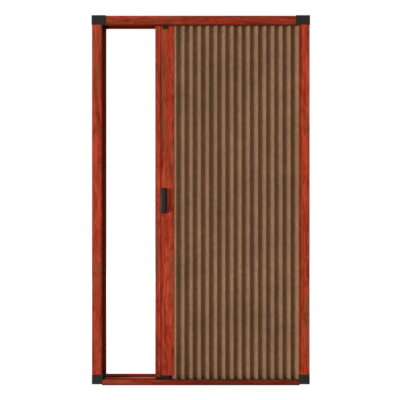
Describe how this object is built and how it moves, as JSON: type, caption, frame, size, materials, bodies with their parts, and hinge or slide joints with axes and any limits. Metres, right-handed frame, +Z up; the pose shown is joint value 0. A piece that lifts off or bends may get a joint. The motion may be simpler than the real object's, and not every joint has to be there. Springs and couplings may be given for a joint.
{
  "type": "accordion door in its frame",
  "caption": "Accordion door with a tan cellular curtain and a lead stile, part open in a dark red woodgrain frame with black corner caps and a low sill track.",
  "frame": {"origin": "middle of the sill track's underside", "axes": "+X to the right and +Y away from the viewer as seen from the front, +Z up"},
  "size_m": [1.244, 0.12, 2.1],
  "materials": {
    "woodgrain_profile": "satin",
    "black_plastic": "satin",
    "brown_bar": "matte",
    "magnet_strip": "matte",
    "pile_seal": "matte",
    "nylon": "matte",
    "curtain_cloth": "matte"
  },
  "bodies": {
    "root": {"left_jamb": "woodgrain_profile", "right_jamb": "woodgrain_profile", "head_rail": "woodgrain_profile", "sill_track": "woodgrain_profile", "lead_stile": "woodgrain_profile", "stile_nose": "woodgrain_profile", "top_left_corner": "black_plastic", "top_right_corner": "black_plastic", "bottom_left_corner": "black_plastic", "bottom_right_corner": "black_plastic", "stile_top_cap": "black_plastic", "stile_bottom_cap": "black_plastic", "nose_top_cap": "black_plastic", "nose_bottom_cap": "black_plastic", "front_pull": "black_plastic", "back_pull": "black_plastic", "strike_bar": "brown_bar", "jamb_curtain_bar": "brown_bar", "stile_curtain_bar": "brown_bar", "nose_magnet": "magnet_strip", "strike_magnet": "magnet_strip", "head_front_pile": "pile_seal", "head_back_pile": "pile_seal", "sill_front_pile": "pile_seal", "sill_back_pile": "pile_seal", "stile_hanger": "nylon", "curtain_gliders": "nylon", "curtain_cell_01": "curtain_cloth", "curtain_cell_02": "curtain_cloth", "curtain_cell_03": "curtain_cloth", "curtain_cell_04": "curtain_cloth", "curtain_cell_05": "curtain_cloth", "curtain_cell_06": "curtain_cloth", "curtain_cell_07": "curtain_cloth", "curtain_cell_08": "curtain_cloth", "curtain_cell_09": "curtain_cloth", "curtain_cell_10": "curtain_cloth", "curtain_cell_11": "curtain_cloth", "curtain_cell_12": "curtain_cloth", "curtain_cell_13": "curtain_cloth", "curtain_cell_14": "curtain_cloth", "curtain_cell_15": "curtain_cloth", "curtain_cell_16": "curtain_cloth"}
  },
  "joints": []
}
